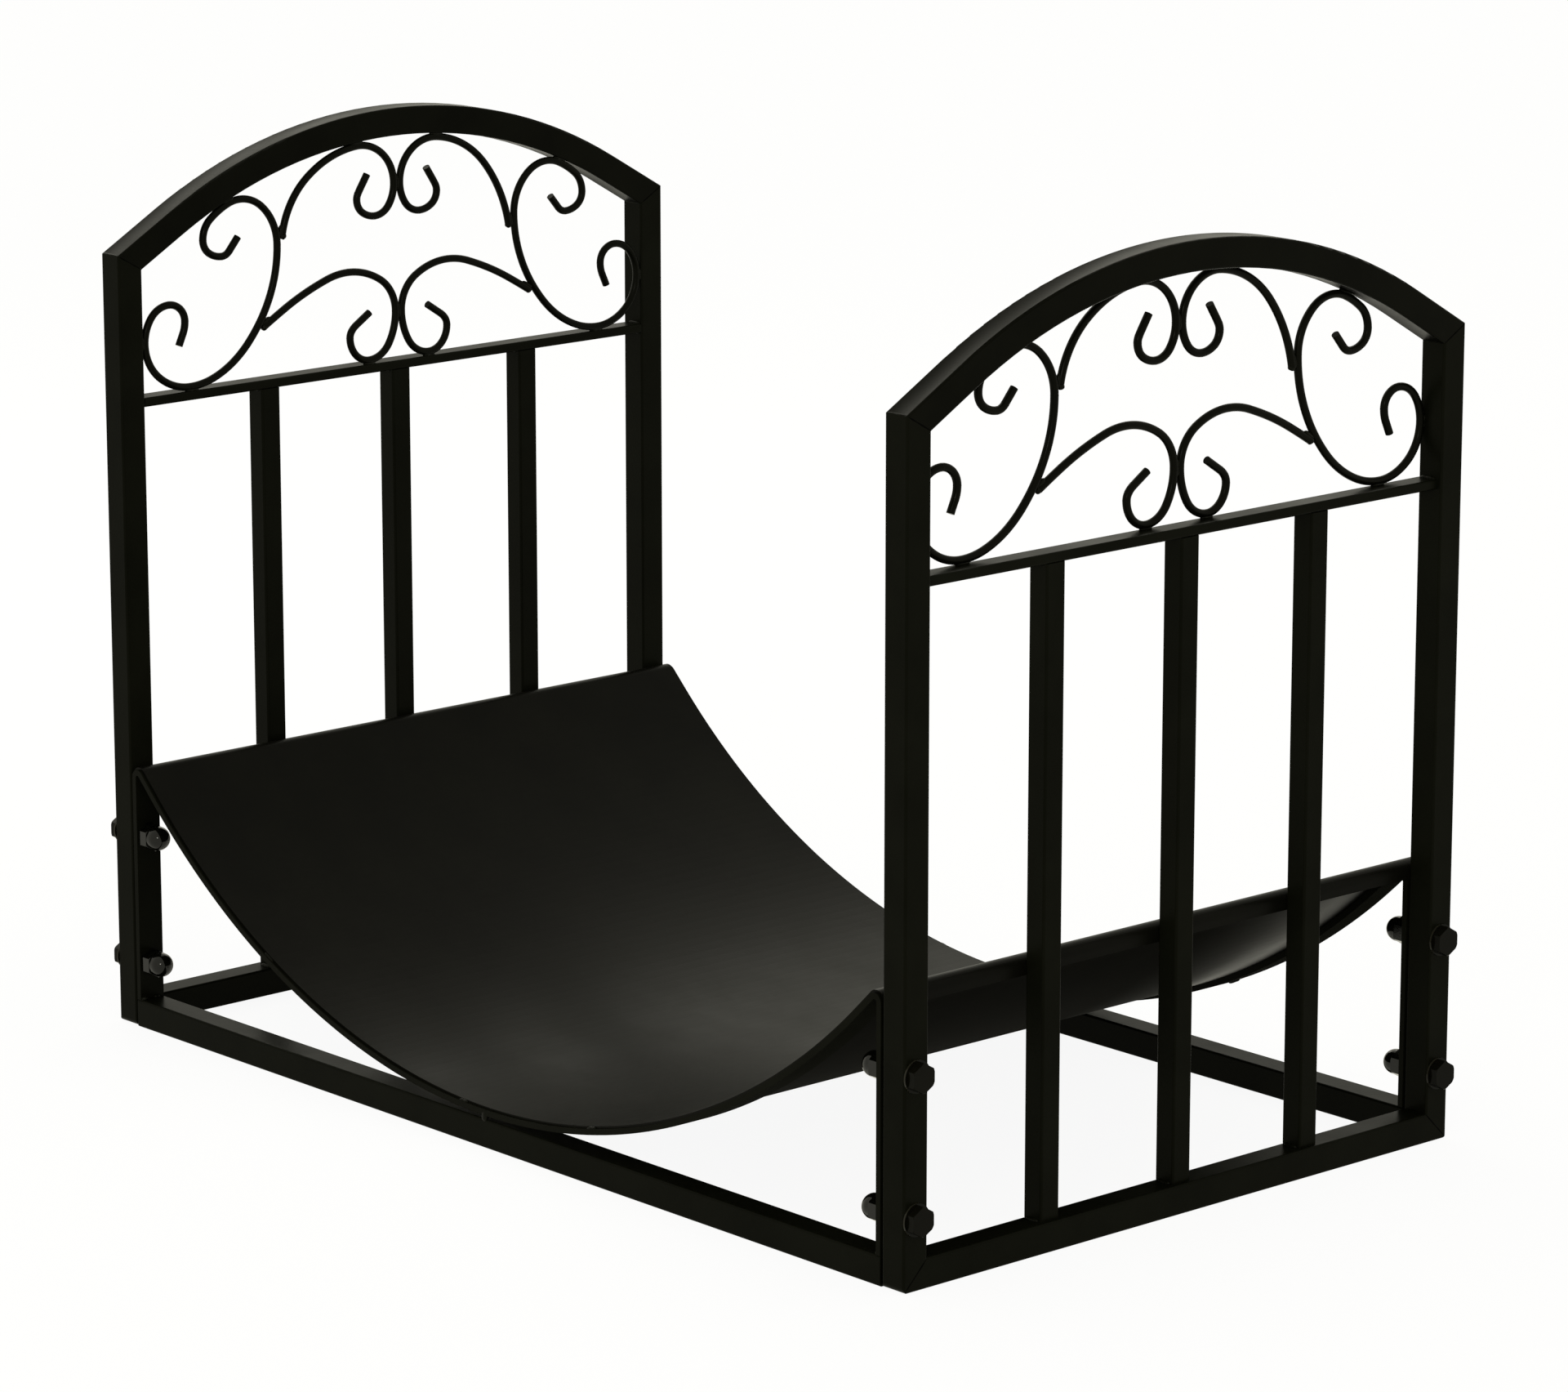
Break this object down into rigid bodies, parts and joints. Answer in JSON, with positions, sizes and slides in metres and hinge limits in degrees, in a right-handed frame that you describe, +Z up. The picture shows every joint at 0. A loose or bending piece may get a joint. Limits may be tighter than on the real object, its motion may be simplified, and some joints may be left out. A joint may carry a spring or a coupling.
{
  "type": "log holder",
  "caption": "Freestanding steel rack for firewood: arched end panels with scrollwork and upright bars, and a curved sheet trough bolted between them.",
  "frame": {"origin": "on the floor, under the middle of the rack", "axes": "+X towards the right end panel, -Y towards the front, +Z up"},
  "size_m": [0.6248, 0.371, 0.4734],
  "materials": {
    "frame_steel": "satin black paint",
    "wire_steel": "satin black paint",
    "sheet_steel": "satin black paint",
    "fastener_steel": "gloss black coating"
  },
  "bodies": {
    "root": {"left_front_post": "frame_steel", "left_back_post": "frame_steel", "left_bottom_rail": "frame_steel", "left_arch": "frame_steel", "left_mid_rail": "frame_steel", "left_front_bar": "frame_steel", "left_centre_bar": "frame_steel", "left_back_bar": "frame_steel", "left_front_large_scroll": "wire_steel", "left_back_large_scroll": "wire_steel", "left_front_upper_scroll": "wire_steel", "left_back_upper_scroll": "wire_steel", "left_front_lower_scroll": "wire_steel", "left_back_lower_scroll": "wire_steel", "right_front_post": "frame_steel", "right_back_post": "frame_steel", "right_bottom_rail": "frame_steel", "right_arch": "frame_steel", "right_mid_rail": "frame_steel", "right_front_bar": "frame_steel", "right_centre_bar": "frame_steel", "right_back_bar": "frame_steel", "right_front_large_scroll": "wire_steel", "right_back_large_scroll": "wire_steel", "right_front_upper_scroll": "wire_steel", "right_back_upper_scroll": "wire_steel", "right_front_lower_scroll": "wire_steel", "right_back_lower_scroll": "wire_steel", "front_rail": "frame_steel", "back_rail": "frame_steel", "front_tray_bar": "frame_steel", "back_tray_bar": "frame_steel", "trough_sheet": "sheet_steel", "left_front_bolts": "fastener_steel", "left_back_bolts": "fastener_steel", "right_front_bolts": "fastener_steel", "right_back_bolts": "fastener_steel", "left_front_washers": "fastener_steel", "left_back_washers": "fastener_steel", "right_front_washers": "fastener_steel", "right_back_washers": "fastener_steel", "left_front_cap_nuts": "fastener_steel", "left_back_cap_nuts": "fastener_steel", "right_front_cap_nuts": "fastener_steel", "right_back_cap_nuts": "fastener_steel"}
  },
  "joints": []
}
